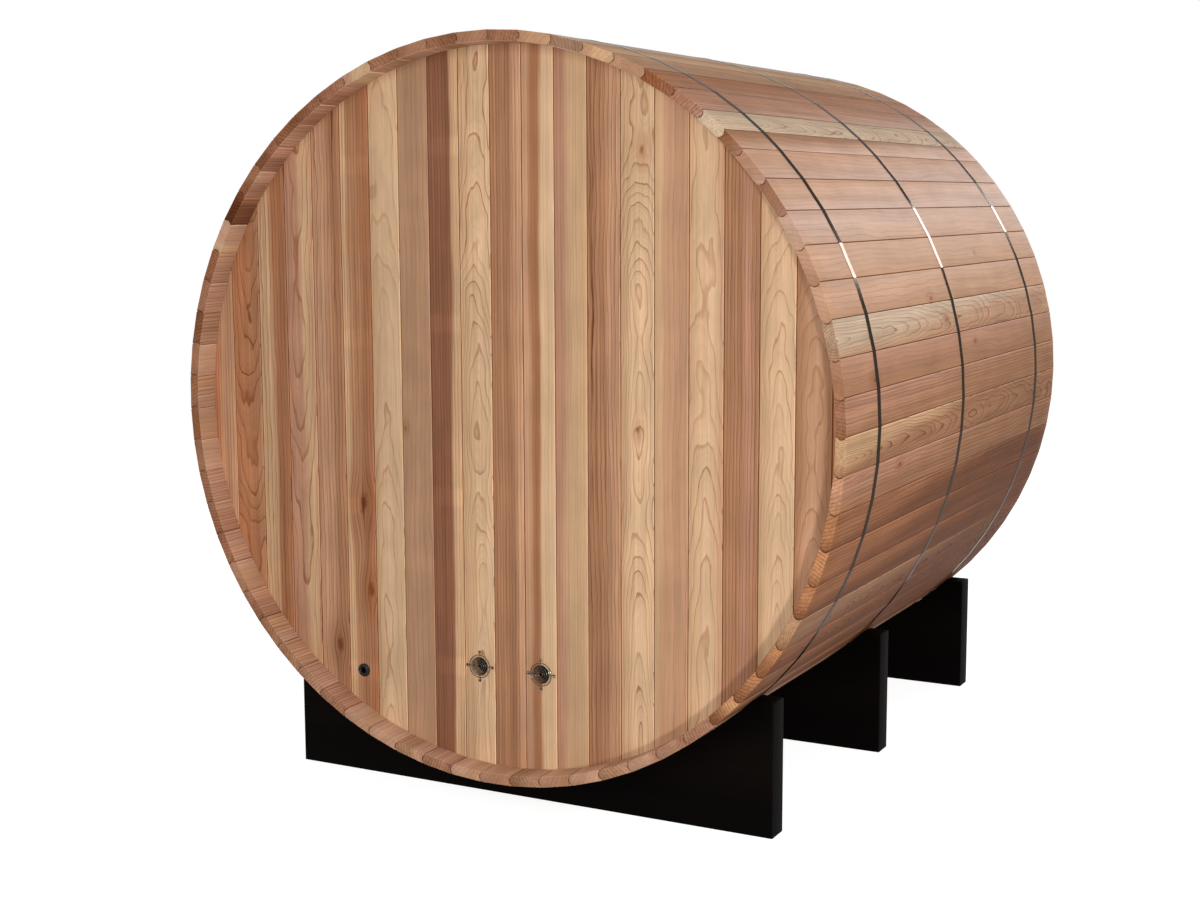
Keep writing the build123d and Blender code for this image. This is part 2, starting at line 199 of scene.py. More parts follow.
def wood(name, late_tint, end_tint, lit_bevel_gain, roughness, specular):
    """Sawn softwood. Growth rings round a wandering pith line cut each board as it lies in the log."""
    g = Graph(bpy.data.materials.new(name))
    x, y, z = g.layer("wood_pos")
    pith_x, pith_depth, spacing = g.layer("wood_pith")
    wander, contrast, seed = g.layer("wood_vary")
    first, second, soft = g.layer("wood_edges")
    lean, taper, streaks = g.layer("wood_more")
    vein_x, vein_z, vein_reach = g.layer("wood_vein")
    marks, mark_shift = g.layer("wood_marks")[:2]
    end, edge, seam = (g.attribute(flag, "Fac") for flag in FACE_FLAGS)
    flat_x = x

    def field(x_scale, z_scale, seed_scale, detail=2.0, output=0):
        """Noise over a board's face, different on each board."""
        return g.noise(g.join(x * x_scale, z * z_scale, seed * seed_scale), 1.0, detail, output)

    core = halo = 0.0
    ragged = (field(110.0, 70.0, 2.3) - 0.5) * 1.6
    for knot in ("wood_knot_a", "wood_knot_b"):
        knot_x, knot_z, knot_radius = g.layer(knot)
        away = x - knot_x
        share = g.length(away, (z - knot_z) * 0.55) / knot_radius
        pull = g.math("EXPONENT", share * share * -0.16)
        core = g.most(core, g.step(share + ragged, 0.1, 1.3, 0.85, 0.0))
        halo = g.most(halo, g.step(share, 0.8, 5.0, 0.6, 0.0))
        x = x - away * (pull * 0.9)

    sway, rise, drift = g.split(field(5.0, 1.7, 7.31, 3.0, 1))
    fine = field(42.0, 9.0, 1.0)
    climb = z + (field(6.0, 4.0, 4.9) - 0.5) * 0.5
    ring_x = x - pith_x + (sway - 0.5) * wander
    ring_y = y - pith_depth + (rise - 0.5) * (wander * 2.0) - taper * climb
    ring = g.length(ring_x, ring_y)
    turns = ring / spacing + (fine - 0.5) * 0.9
    number = g.math("FLOOR", turns)
    share = turns - number
    chance = g.node("TexWhiteNoise", {"W": number + seed * 57.0}, noise_dimensions="1D")
    late = g.step(share, chance * 0.18 + 0.66, 0.92) + g.step(share, 0.2, 0.95) * 0.2
    late = late * g.step(share, 0.96, 1.0, 1.0, 0.0) * (chance * 0.9 + 0.35)
    late = late + g.step(g.math("FRACT", turns * 3.0), 0.4, 0.95) * 0.16
    late = late * (contrast * (g.math("ABSOLUTE", end) * 0.6 + 1.0))

    broad = g.noise(g.join(ring * 34.0, z * 0.6, seed * 3.7))
    place = x + lean * z + (drift - 0.5) * 0.03 + (broad - 0.5) * 0.02
    color = g.attribute("wood_left", "Color")
    for border, layer in ((first, "wood_middle"), (second, "wood_right")):
        color = g.mix(g.step(place, border - soft, border + soft), color, g.attribute(layer, "Color"))
    color = g.scale_color(color, g.step(broad, 0.2, 0.8, 0.86, 1.12))
    color = g.tint(color, g.math("MINIMUM", late, 1.0), late_tint)

    streak = field(75.0, 1.3, 1.9, 3.0)
    color = g.tint(color, g.step(streak, 0.60, 0.68) * streaks, STREAK_TINT)
    vein = g.math("ABSOLUTE", flat_x - vein_x + (fine - 0.5) * 0.012)
    vein = g.step(vein, 0.0008, 0.0042, 1.0, 0.0) * g.step(streak, 0.3, 0.55, 0.35, 1.0)
    reach = g.math("ABSOLUTE", z - vein_z)
    color = g.tint(color, vein * g.step(reach, vein_reach * 0.7, vein_reach, 1.0, 0.0), VEIN_TINT)
    mark = g.math("FRACT", z * 2.35 + mark_shift)
    mark = g.step(g.math("ABSOLUTE", mark - 0.5), 0.03, 0.075, 1.0, 0.0)
    color = g.scale_color(color, mark * marks + 1.0)

    fibre = g.noise(g.join(x * 620.0, y * 620.0, z * 9.0))
    thread = g.noise(g.join(x * 190.0, y * 190.0, z * 1.8))
    depth = g.math("MINIMUM", contrast * 0.15, 0.15)
    color = g.scale_color(color, (g.step(thread, 0.3, 0.7) - 0.5) * (depth * 2.0) + 1.0)
    cloud = field(14.0, 7.0, 5.3, 3.0)
    color = g.scale_color(color, g.step(cloud, 0.25, 0.75, 0.92, 1.07))
    color = g.scale_color(color, g.step(fibre, 0.25, 0.75, 0.93, 1.06))
    color = g.tint(color, halo * g.step(cloud, 0.3, 0.7, 0.6, 1.0), HALO_TINT)
    color = g.tint(color, core, KNOT_TINT)
    color = g.tint(color, g.most(end, 0.0), end_tint)
    color = g.tint(color, g.most(end * -1.0, 0.0), PALE_END)

    # Painted light on bevels: lit bevels are made paler as a painted highlight, most of all on the inner
    # faces of staves
    lit, shaded = g.most(edge, 0.0), g.most(edge * -1.0, 0.0)
    inner = g.step(y, 0.012, 0.014)
    color = g.scale_color(color, lit * (inner * 0.6 + lit_bevel_gain) + 1.0)
    # Darkens shaded bevels, the bottoms of lit bevels and half of shaded inner bevels: dark joints and
    # painted shade
    deep = g.most(shaded * g.step(y, 0.0001, 0.0004), lit * g.step(y, 0.0010, 0.0014))
    deep = g.most(g.mix(inner, deep, shaded * 0.5), seam)
    return g.principled(
        Base_Color=g.tint(color, deep, JOINT_SHADE_TINT),
        Roughness=g.step(fibre, 0.2, 0.8, roughness - 0.05, roughness + 0.07),
        Specular_IOR_Level=specular, Normal=g.bump(fibre + fine * 0.6, 0.22, 0.0005),
    )


def metal(name, base, edge_tint, roughness, grain_axis, grain):
    """Rolled or drawn metal with faint lines along one axis and slight stains."""
    g = Graph(bpy.data.materials.new(name))
    scales = [grain if axis == grain_axis else grain / 30 for axis in range(3)]
    places = g.split(g.object_place())
    lines = g.noise(g.join(*(place * scale for place, scale in zip(places, scales))), detail=3.0)
    stain = g.noise(g.object_place(), 18.0, 3.0)
    color = g.mix(g.step(lines, 0.3, 0.7), base, [c * 0.72 for c in base])
    color = g.mix(g.step(stain, 0.5, 0.75, 0.0, 0.35), color, [c * 0.55 for c in base])
    return g.principled(
        Base_Color=color, Metallic=1.0, Specular_Tint=(edge_tint, edge_tint, edge_tint, 1.0),
        Roughness=g.step(stain, 0.3, 0.8, roughness, roughness + 0.1) + lines * 0.05,
        Normal=g.bump(lines, 0.1, 0.0002),
    )


def plastic(name, base, roughness):
    """Moulded nylon with a faint surface texture."""
    g = Graph(bpy.data.materials.new(name))
    mottle = g.noise(g.object_place(), 160.0)
    return g.principled(
        Base_Color=g.mix(g.step(mottle, 0.35, 0.7), base, [c * 1.8 for c in base]),
        Roughness=g.step(mottle, 0.3, 0.7, roughness, roughness + 0.1), Specular_IOR_Level=0.25,
        Normal=g.bump(g.noise(g.object_place(), 1500.0), 0.08, 0.0002),
    )


RED_LATE = (0.60, 0.44, 0.34)
END_TINT = (0.50, 0.35, 0.26)
MATERIALS = {
    # The fourth value given to wood is the strength of the painted highlight on lit bevels
    "stave_cedar": wood("stave_cedar_wood", RED_LATE, END_TINT, 0.25, 0.62, 0.05),
    "wall_cedar": wood("wall_cedar_wood", RED_LATE, END_TINT, 0.42, 0.55, 0.12),
    "door_cedar": wood("door_cedar_wood", RED_LATE, END_TINT, 0.15, 0.5, 0.3),
    "black_stained_timber": wood("stained_timber", (0.5, 0.45, 0.4), (0.8, 0.8, 0.8), 1.5, 0.6, 0.02),
    # The steel and chrome bases are far darker than these metals: a painted dark reflection of the
    # surroundings
    "stainless_band": metal("band_steel", tone("544D48"), 0.4, 0.05, 1, 900.0),
    "chromed_wire": metal("chrome", tone("625B50"), 0.5, 0.08, 2, 1500.0),
    "black_plastic": plastic("gland_nylon", (0.003, 0.003, 0.0034), 0.12),
}

# ash, shell and oat are pale tones that partly paint sheen on the upper staves; umber partly paints shade on
# the lower staves
TONES = {
    "cream": "D2AE8A", "straw": "C8A27D", "tan": "BD9171", "pink": "C2967B",
    "blush": "C69C80", "taupe": "AD8567", "rose": "B5866B", "brown": "A87A5A",
    "red": "A4704F", "rust": "B47A55", "dark": "84583F", "umber": "7E5036",
    "ash": "CDB5A3", "shell": "CEAA96", "oat": "C9B096", "plum": "875A42",
}
TONES = {name: tone(code) for name, code in TONES.items()}
TONES.update(stain=(0.0017, 0.0011, 0.0009), stain_light=(0.0032, 0.0021, 0.0016))


# Grain of one board: how it was cut from its log, and its tones from left to right

CUTS = {
    "straight": dict(pith=(0.15, 0.05, 0.0080), wander=0.012, taper=0.004, contrast=1.1),
    "rift": dict(pith=(-0.09, 0.07, 0.0085), wander=0.02, taper=0.01, contrast=1.1),
    "plain": dict(pith=(0.11, 0.09, 0.0105), wander=0.03, taper=0.004, contrast=0.35),
    "cathedral": dict(pith=(0.004, 0.060, 0.0058), wander=0.018, taper=0.060, contrast=0.9),
    "soft": dict(pith=(-0.006, 0.070, 0.0075), wander=0.024, taper=0.040, contrast=0.6),
    "squiggle": dict(pith=(0.010, 0.050, 0.0050), wander=0.034, taper=0.050, contrast=0.8),
}
NO_KNOT = (9.0, 9.0, 0.001)


def look(tones, cut="straight", edges=(-0.014, 0.014), soft=0.008, **changes):
    """A board's look: up to three tones by name, its cut, and where its tones change.

    Knots are (x, z, radius), a vein is a dark line at (x, z, reach), marks are pale bands across
    the board as (strength, shift), and end is how dark its end grain is, or how pale below zero.
    """
    names = tones.split()
    names += [names[-1]] * (3 - len(names))
    style = dict(lean=0.0, streaks=0.0, knots=(), vein=(9.0, 9.0, 0.1), marks=(0.0, 0.0), end=1.0)
    style.update(CUTS[cut])
    style.update(changes)
    style["knots"] = (*style["knots"], NO_KNOT, NO_KNOT)[:2]
    style["tones"] = [TONES[n] for n in names]
    style["edges"] = (*edges, soft)
    return style


class Grain:
    """Where a board's grain lies: a place on its face, the way across, the way in and the way along.

    Bright is 1 where the bevel that faces across gets a painted highlight and the other bevel gets painted
    shade, -1 where it is the other way round.
    """

    def __init__(self, origin, across, inward, along, style, seed, bright=1):
        self.origin = np.array(origin, float)
        self.basis = np.array([across, inward, along], float)
        self.style = style
        self.seed = seed
        self.bright = bright


def wood_layers(grain):
    """The values that are the same all over one board."""
    style = grain.style
    layers = {
        "wood_pith": style["pith"],
        "wood_vary": (style["wander"], style["contrast"], grain.seed),
        "wood_edges": style["edges"],
        "wood_more": (style["lean"], style["taper"], style["streaks"]),
        "wood_vein": style["vein"],
        "wood_marks": (*style["marks"], 0.0),
        "wood_knot_a": style["knots"][0],
        "wood_knot_b": style["knots"][1],
    }
    for name, color in zip(("wood_left", "wood_middle", "wood_right"), style["tones"]):
        layers[name] = (*color, 1.0)
    return layers


def write_grain(mesh, grains):
    """Stores each board's grain in its points, and marks on its faces the end grain, the bevels that get a
    painted highlight, those that get painted shade, and the dark joint faces at stave ends.
    """
    count = len(mesh.vertices)
    part = np.zeros(count, np.int32)
    mesh.attributes["part"].data.foreach_get("value", part)
    points = np.zeros(count * 3, np.float32)
    mesh.vertices.foreach_get("co", points)
    points = points.reshape(-1, 3)
    layers = {"wood_pos": np.zeros((count, 3), np.float32)}
    for index, grain in enumerate(grains):
        mine = part == index
        layers["wood_pos"][mine] = (points[mine] - grain.origin) @ grain.basis.T
        for name, value in wood_layers(grain).items():
            layers.setdefault(name, np.zeros((count, len(value)), np.float32))[mine] = value
    for name, values in layers.items():
        kind, key = ("FLOAT_COLOR", "color") if values.shape[1] == 4 else ("FLOAT_VECTOR", "vector")
        mesh.attributes.new(name, kind, "POINT").data.foreach_set(key, values.ravel())
    ends, edges, seams = flags = np.zeros((3, len(mesh.polygons)), np.float32)
    for polygon in mesh.polygons:
        grain = grains[part[polygon.vertices[0]]]
        facing = grain.basis @ np.array(polygon.normal)
        across, inward, along = np.abs(facing)
        if along > 0.95:
            ends[polygon.index] = grain.style["end"]
        elif grain.bright < 0 and along > 0.25 and across > inward:
            seams[polygon.index] = 1.0
        # The sign stands for the lamps: +1 bevels take a painted highlight, -1 bevels take painted shade
        elif along < 0.25 and across > 0.2 and inward > 0.35:
            bright = grain.bright if facing[1] < 0 else abs(grain.bright)
            edges[polygon.index] = bright * np.sign(facing[0])
    for name, values in zip(FACE_FLAGS, flags):
        mesh.attributes.new(name, "FLOAT", "FACE").data.foreach_set("value", values)


# Meshes. A solid is (points, faces); a piece joins the solids that stand for one CAD node.

def loft(stations, cyclic=False):
    """Skins closed outlines with equal point counts, with a cap at each end unless it is a loop."""
    stations = [np.asarray(s, float) for s in stations]
    size = len(stations[0])
    faces = []
    last = len(stations) if cyclic else len(stations) - 1
    for row in range(last):
        low, high = row * size, (row + 1) % len(stations) * size
        for i in range(size):
            j = (i + 1) % size
            faces.append((low + i, low + j, high + j, high + i))
    if not cyclic:
        faces.append(tuple(range(size)))
        faces.append(tuple(range(last * size, (last + 1) * size)))
    return np.concatenate(stations), faces


def inset(outline, distance):
    """Moves each point of a closed outline inwards."""
    outline = np.asarray(outline, float)
    after = np.roll(outline, -1, 0) - outline
    before = outline - np.roll(outline, 1, 0)
    area = np.sum(outline[:, 0] * np.roll(outline[:, 1], -1) - outline[:, 1] * np.roll(outline[:, 0], -1))
    normals = []
    for edge in (before, after):
        edge = edge / np.maximum(np.linalg.norm(edge, axis=1, keepdims=True), 1e-9)
        normals.append(np.stack([-edge[:, 1], edge[:, 0]], 1) * np.sign(area))
    total = normals[0] + normals[1]
    scale = np.maximum(np.sum(total * total, 1, keepdims=True) / 2, 0.5)
    return outline + total / scale * distance


def quarter(steps):
    """Shares of a corner's two legs that are left at each point of its round."""
    turns = np.linspace(0, math.pi / 2, steps + 1)
    return list(zip(1 - np.sin(turns), 1 - np.cos(turns)))


def rectangle(low, high):
    return [(low[0], low[1]), (high[0], low[1]), (high[0], high[1]), (low[0], high[1])]


def circle(radius, turns):
    """Points (across, up) of a circle at angles in radians, clockwise from its top."""
    return radius * np.stack([np.sin(turns), np.cos(turns)], 1)


def rounded(corners, radius, steps=3):
    """Rounds every corner of a closed outline. Radius is one value, or one for each corner."""
    corners = [np.array(c, float) for c in corners]
    radii = radius if hasattr(radius, "__len__") else [radius] * len(corners)
    points = []
    for i, corner in enumerate(corners):
        if radii[i] <= 0:
            points.append(corner)
            continue
        legs = []
        for other in (corners[i - 1], corners[(i + 1) % len(corners)]):
            way = other - corner
            legs.append(way / np.linalg.norm(way))
        points += [corner + radii[i] * (legs[0] * a + legs[1] * b) for a, b in quarter(steps)]
    return np.array(points)


def ends_rounded(outline, low, high, place, radius, steps=2):
    """Lofts an outline between two places, with its end edges rounded. Place turns (u, v, w) into a point."""
    stations = []
    for end, way in ((low, radius), (high, -radius)):
        rows = [(inset(outline, radius * a), end + way * b) for a, b in quarter(steps)]
        stations += rows if way > 0 else rows[::-1]
    return loft([[place(u, v, w) for u, v in ring] for ring, w in stations])


def bar(low, high, axis, radius):
    """A box between two corners along one axis, with all its edges rounded."""
    low, high = np.minimum(low, high), np.maximum(low, high)
    others = [i for i in range(3) if i != axis]

    def place(u, v, w):
        point = np.zeros(3)
        point[others], point[axis] = (u, v), w
        return point

    outline = rounded(rectangle(low[others], high[others]), radius)
    return ends_rounded(outline, low[axis], high[axis], place, radius)


def lathe(profile, origin, axis, segments=32):
    """Turns a closed profile of (radius, height) about an axis. A radius of 0 closes on the axis."""
    axis = np.array(axis, float)
    side = np.cross(axis, X if abs(axis[0]) < 0.9 else Y)
    side /= np.linalg.norm(side)
    other = np.cross(axis, side)
    stations = []
    for i in range(segments):
        turn = 2 * math.pi * i / segments
        out = side * math.cos(turn) + other * math.sin(turn)
        stations.append([np.array(origin) + out * r + axis * h for r, h in profile])
    return loft(stations, cyclic=True)


def tube(path, radius, closed=False):
    """A round wire along a path, with domed ends unless it is closed."""
    path = np.array(path, float)
    ways = np.roll(path, -1, 0) - np.roll(path, 1, 0) if closed else np.gradient(path, axis=0)
    ways /= np.linalg.norm(ways, axis=1, keepdims=True)
    rows = [(spot, way, radius) for spot, way in zip(path, ways)]
    if not closed:
        rows.insert(0, (path[0] - ways[0] * radius * 0.8, ways[0], radius * 0.45))
        rows.append((path[-1] + ways[-1] * radius * 0.8, ways[-1], radius * 0.45))
    side = np.cross(ways[0], Y)
    if np.linalg.norm(side) < 0.1:
        side = np.cross(ways[0], X)
    stations = []
    for centre, way, size in rows:
        side = side - way * (side @ way)
        side /= np.linalg.norm(side)
        other = np.cross(way, side)
        turns = [2 * math.pi * k / TUBE_SIDES for k in range(TUBE_SIDES)]
        stations.append([centre + size * (side * math.cos(t) + other * math.sin(t)) for t in turns])
    return loft(stations, cyclic=closed)


def directions(angle):
    """The way out of the barrel and the way clockwise round it, at an angle."""
    turn = math.radians(angle)
    return np.array([math.sin(turn), 0, math.cos(turn)]), np.array([math.cos(turn), 0, -math.sin(turn)])


def turned(solid, angle):
    """Turns a solid that was made at the top to an angle round the barrel."""
    out, across = directions(angle)
    x, y, z = (solid[0] - AXIS).T[:, :, None]
    return AXIS + across * x + Y * y + out * z, solid[1]


def joined(*solids):
    """Several solids as one, for parts that are fixed to each other."""
    points, faces, shift = [], [], 0
    for p, f in solids:
        points.append(p)
        faces += [tuple(i + shift for i in face) for face in f]
        shift += len(p)
    return np.concatenate(points), faces


def mesh_of(name, solid):
    mesh = bpy.data.meshes.new(name)
    mesh.from_pydata(solid[0].tolist(), [], solid[1])
    return mesh


def placed(name, data):
    """A new object in the scene."""
    thing = bpy.data.objects.new(name, data)
    bpy.context.scene.collection.objects.link(thing)
    return thing


def piece(name, solids, material, nodes, grains=None, bores=(), sharp=32.0):
    """Makes the piece that stands for its CAD nodes, from solids with one grain each."""
    mesh = mesh_of(name, joined(*solids))
    part = np.concatenate([np.full(len(p), i, np.int32) for i, (p, f) in enumerate(solids)])
    mesh.attributes.new("part", "INT", "POINT").data.foreach_set("value", part)
    work = bmesh.new()
    work.from_mesh(mesh)
    bmesh.ops.remove_doubles(work, verts=work.verts, dist=2e-6)
    bmesh.ops.dissolve_degenerate(work, edges=work.edges, dist=1e-6)
    bmesh.ops.recalc_face_normals(work, faces=work.faces)
    work.to_mesh(mesh)
    work.free()
    thing = placed(name, mesh)
    for bore in bores:
        cutter = placed("bore", mesh_of("bore", bore))
        cut = thing.modifiers.new("bore", "BOOLEAN")
        cut.operation, cut.object, cut.solver = "DIFFERENCE", cutter, "EXACT"
        shape = thing.evaluated_get(bpy.context.evaluated_depsgraph_get())
        done = bpy.data.meshes.new_from_object(shape)
        thing.modifiers.clear()
        thing.data = done
        bpy.data.objects.remove(cutter)
    mesh = thing.data
    mesh.name = name
    mesh.materials.clear()
    mesh.materials.append(MATERIALS[material])
    if grains:
        write_grain(mesh, grains)
    mesh.attributes.remove(mesh.attributes["part"])
    mesh.shade_smooth()
    mesh.set_sharp_from_angle(angle=math.radians(sharp))
    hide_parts(*nodes)
    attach(thing, "root")


# Staves

def stave_spans():
    """Start angle and width of each stave, clockwise from the first joint."""
    widths = [STAVE_ANGLE] * REGULAR_STAVES
    widths[STAVES_BEFORE_CLOSING:STAVES_BEFORE_CLOSING] = [share * STAVE_ANGLE for share in CLOSING_SHARES]
    spans, start = [], FIRST_JOINT
    for width in widths:
        spans.append((start, width))
        start += width
    return spans


def joint_curve(width, side, shift, steps=8):
    """Points down the bead or cove on one side of a stave."""
    half = math.radians(width / 2) * side
    along = np.array([math.sin(half), math.cos(half)])
    across = np.array([math.cos(half), -math.sin(half)])
    outer = RADIUS * math.cos(half) - BEAD_LAND
    inner = RADIUS * math.cos(half) - STAVE_THICKNESS + BEAD_LAND
    chord = (outer - inner) / 2
    bend = (chord**2 + BEAD_HEIGHT**2) / (2 * BEAD_HEIGHT)
    sweep = math.asin(chord / bend)
    points = []
    for i in range(steps + 1):
        turn = sweep * (1 - 2 * i / steps)
        height = (outer + inner) / 2 + bend * math.sin(turn)
        out = bend * math.cos(turn) - bend + BEAD_HEIGHT + shift
        points.append(along * height / along[1] + across * out)
    return points


def stave_outline(width):
    """Section of a stave at the top: across and up from the barrel's axis."""
    slope = math.tan(math.radians(width / 2))
    top = RADIUS * math.cos(math.radians(width / 2))
    bottom = top - STAVE_THICKNESS
    right = top * slope - GAP / 2
    low_right = bottom * slope - GAP / 2
    bevel = [(right - STAVE_BEVEL * a, top - STAVE_BEVEL * b) for a, b in ARRIS]
    foot = [(low_right - STAVE_EASE * a, bottom + STAVE_EASE * b) for a, b in ((0, 1), (0.3, 0.3), (1, 0))]
    outline = [(-x, z) for x, z in bevel[::-1]] + [(-right / 3, top), (right / 3, top)] + bevel
    outline += joint_curve(width, 1, -GAP / 2)
    outline += foot + [(low_right / 3, bottom), (-low_right / 3, bottom)]
    outline += [(-x, z) for x, z in foot[::-1]]
    outline += joint_curve(width, -1, GAP / 2)[::-1]
    return np.array(outline)


def grooved(outline):
    """The same section where the wall's groove cuts it."""
    reach = np.hypot(*outline.T)
    inside = np.flatnonzero(reach < GROOVE_RADIUS)
    start, end = inside[0], inside[-1]
    angles = []
    for within, beyond in ((start, start - 1), (end, end + 1)):
        share = (GROOVE_RADIUS - reach[beyond]) / (reach[within] - reach[beyond])
        point = outline[beyond] + (outline[within] - outline[beyond]) * share
        angles.append(math.atan2(*point))
    result = outline.copy()
    result[inside] = circle(GROOVE_RADIUS, np.linspace(*angles, len(inside)))
    return result


def stave(width):
    """One stave at the top of the barrel."""
    whole = stave_outline(width)
    cut = grooved(whole)
    eased = [(0.0, inset(whole, END_EASE)), (END_EASE * 0.3, inset(whole, END_EASE * 0.3)), (END_EASE, whole)]
    rows = [(-HALF_LENGTH + back, ring) for back, ring in eased]
    for low in (-WALL_FACE, WALL_FACE - WALL_THICKNESS):
        high = low + WALL_THICKNESS + GAP
        rows += [(low - GAP, whole), (low - GAP, cut), (high, cut), (high, whole)]
    rows += [(HALF_LENGTH - back, ring) for back, ring in eased[::-1]]
    return loft([[(x, y, AXIS_HEIGHT + z) for x, z in ring] for y, ring in rows])


SPANS = stave_spans()
STAVE_CHOICES = (
    ("pink", "straight"), ("blush", "plain"), ("blush tan", "rift"), ("rose pink", "straight"),
    ("tan blush", "plain"), ("rose blush", "soft"), ("blush taupe", "rift"),
)
DARK_ENDS_FROM = 44
# Staves 1, 5 to 10 and 13 take pale tones that are partly a painted sheen; the darker tones of staves 18 to
# 24 are partly painted shade
STAVE_LOOKS = {
    0: look("tan", "plain", end=0.0),
    1: look("ash", "rift", contrast=0.5, end=0.9),
    2: look("tan straw", "plain", end=0.0),
    3: look("tan taupe", "soft", contrast=0.4, end=0.1),
    4: look("red rose", "rift", (0.0, 0.05), 0.03, lean=0.03, end=0.6),
    5: look("rose shell", "straight", (0.01, 0.06), 0.04, lean=0.03, streaks=0.5, end=0.3),
    6: look("oat", "cathedral", contrast=0.7, end=0.0),
    7: look("brown shell", "plain", (-0.01, 0.05), 0.04, lean=0.04, end=0.7),
    8: look("blush shell", "plain", (-0.01, 0.05), 0.04, lean=0.04, end=0.4),
    9: look("blush shell", "rift", (-0.02, 0.05), 0.04, lean=0.04, contrast=0.35, end=0.8),
    10: look("shell blush", "plain", (0.0, 0.05), 0.04, lean=0.04, end=0.2),
    11: look("blush tan", "plain", (0.0, 0.05), 0.04, lean=0.04, knots=[(0.01, 0.3, 0.004)], end=0.3),
    12: look("blush tan", "plain", (-0.01, 0.05), 0.04, lean=0.04, knots=[(0.03, -0.2, 0.006)], end=0.1),
    13: look("oat tan", "cathedral", (-0.01, 0.06), 0.04, lean=0.05, knots=[(0.006, -0.12, 0.007)], end=0.5),
    14: look(
        "rose brown", "plain", (0.0, 0.06), 0.04,
        knots=[(0.02, -0.70, 0.007), (-0.01, 0.1, 0.004)], end=0.2,
    ),
    15: look("rose brown", "straight", (-0.02, 0.06), 0.03, lean=0.05, contrast=1.0, end=0.5),
    16: look("straw brown", "squiggle", (-0.045, 0.09), 0.02, lean=0.08, contrast=1.3, end=0.0),
    17: look("rose brown", "rift", (-0.03, 0.09), 0.02, lean=0.05, knots=[(-0.02, -0.52, 0.006)], end=-0.3),
    18: look("red umber", "rift", (-0.032, 0.09), 0.03, lean=0.08, end=-0.5),
    19: look("red umber", "straight", (-0.035, 0.09), 0.03, lean=0.08, end=-0.8),
    20: look("red umber", "rift", (-0.030, 0.09), 0.03, lean=0.06, end=-0.4),
    21: look("taupe dark", "squiggle", (-0.02, 0.09), 0.04, lean=0.06, contrast=1.3, end=-0.5),
    22: look("red umber", "cathedral", (-0.05, 0.09), 0.04, lean=0.06, contrast=1.2, end=-0.9),
    23: look("red umber", "rift", (-0.05, 0.09), 0.04, lean=0.06, end=-0.8),
    24: look("brown umber", "straight", (-0.05, 0.09), 0.04, lean=0.06, end=-0.7),
    54: look("cream blush", "plain", end=0.1),
    55: look("dark brown", "rift", (-0.06, 0.05), 0.02, lean=0.1),
    61: look("blush cream", "plain", end=0.2),
}


def random_knots(chance, odds, reach):
    """One small knot, or none."""
    if chance.random() >= odds:
        return []
    return [(chance.uniform(-0.03, 0.03), chance.uniform(-reach, reach), chance.uniform(0.003, 0.007))]


def stave_look(index):
    if index in STAVE_LOOKS:
        return STAVE_LOOKS[index]
    chance = random.Random(900 + index)
    tones, cut = chance.choice(STAVE_CHOICES)
    knots = random_knots(chance, 0.22, 0.8)
    middle = chance.uniform(-0.03, 0.03)
    end = chance.uniform(0.6, 1.0) if index >= DARK_ENDS_FROM else chance.uniform(0.1, 0.6)
    return look(tones, cut, (middle, middle + 0.02), 0.014, knots=knots, end=end)


def make_staves():
    groups, closing = [[]], []
    for index, (start, width) in enumerate(SPANS):
        middle = start + width / 2
        out, across = directions(middle)
        grain = Grain(AXIS + out * FACET_RADIUS, across, -out, Y, stave_look(index), 1.37 * index + 0.5, -1)
        if width == STAVE_ANGLE and len(groups[-1]) == STAVES_PER_GROUP:
            groups.append([])
        group = groups[-1] if width == STAVE_ANGLE else closing
        group.append((turned(stave(width), middle), grain))
    sets = [(f"stave_set_{i:02d}", f"staves_{i:02d}", group) for i, group in enumerate(groups, 1)]
    for name, node, group in sets + [("closing_stave_pair", "closing_staves", closing)]:
        solids, grains = zip(*group)
        piece(name, solids, "stave_cedar", [node], grains)


# Boards of the end walls and the door

def board_outline(left, right, thickness, tongue=TONGUE, groove=True):
    """Section of a board: across, and depth from its face."""
    bevel, half, ease = BOARD_BEVEL, 0.004, 0.001
    low, high = thickness / 2 - half, thickness / 2 + half
    outline = [(x, 0.0) for x in np.linspace(left + bevel, right - bevel, 8)]
    outline += [(right - bevel * a, bevel * b) for a, b in ARRIS[1:]]
    outline += [(right, low), (right + tongue - ease, low), (right + tongue, low + ease)]
    outline += [(right + tongue, high - ease), (right + tongue - ease, high), (right, high)]
    outline += [(right, thickness)]
    outline += [(x, thickness) for x in np.linspace(right, left, 7)[1:]]
    if groove:
        deep = left + tongue + GAP
        outline += [(left, high + GAP), (deep, high + GAP), (deep, low - GAP), (left, low - GAP)]
    outline += [(left + bevel * a, bevel * b) for a, b in ARRIS[:0:-1]]
    return np.array(outline)


def arc_end(x):
    """Height of the round wall's edge over the axis."""
    return math.sqrt(max(WALL_RADIUS**2 - min(abs(x), WALL_RADIUS) ** 2, 0.0))


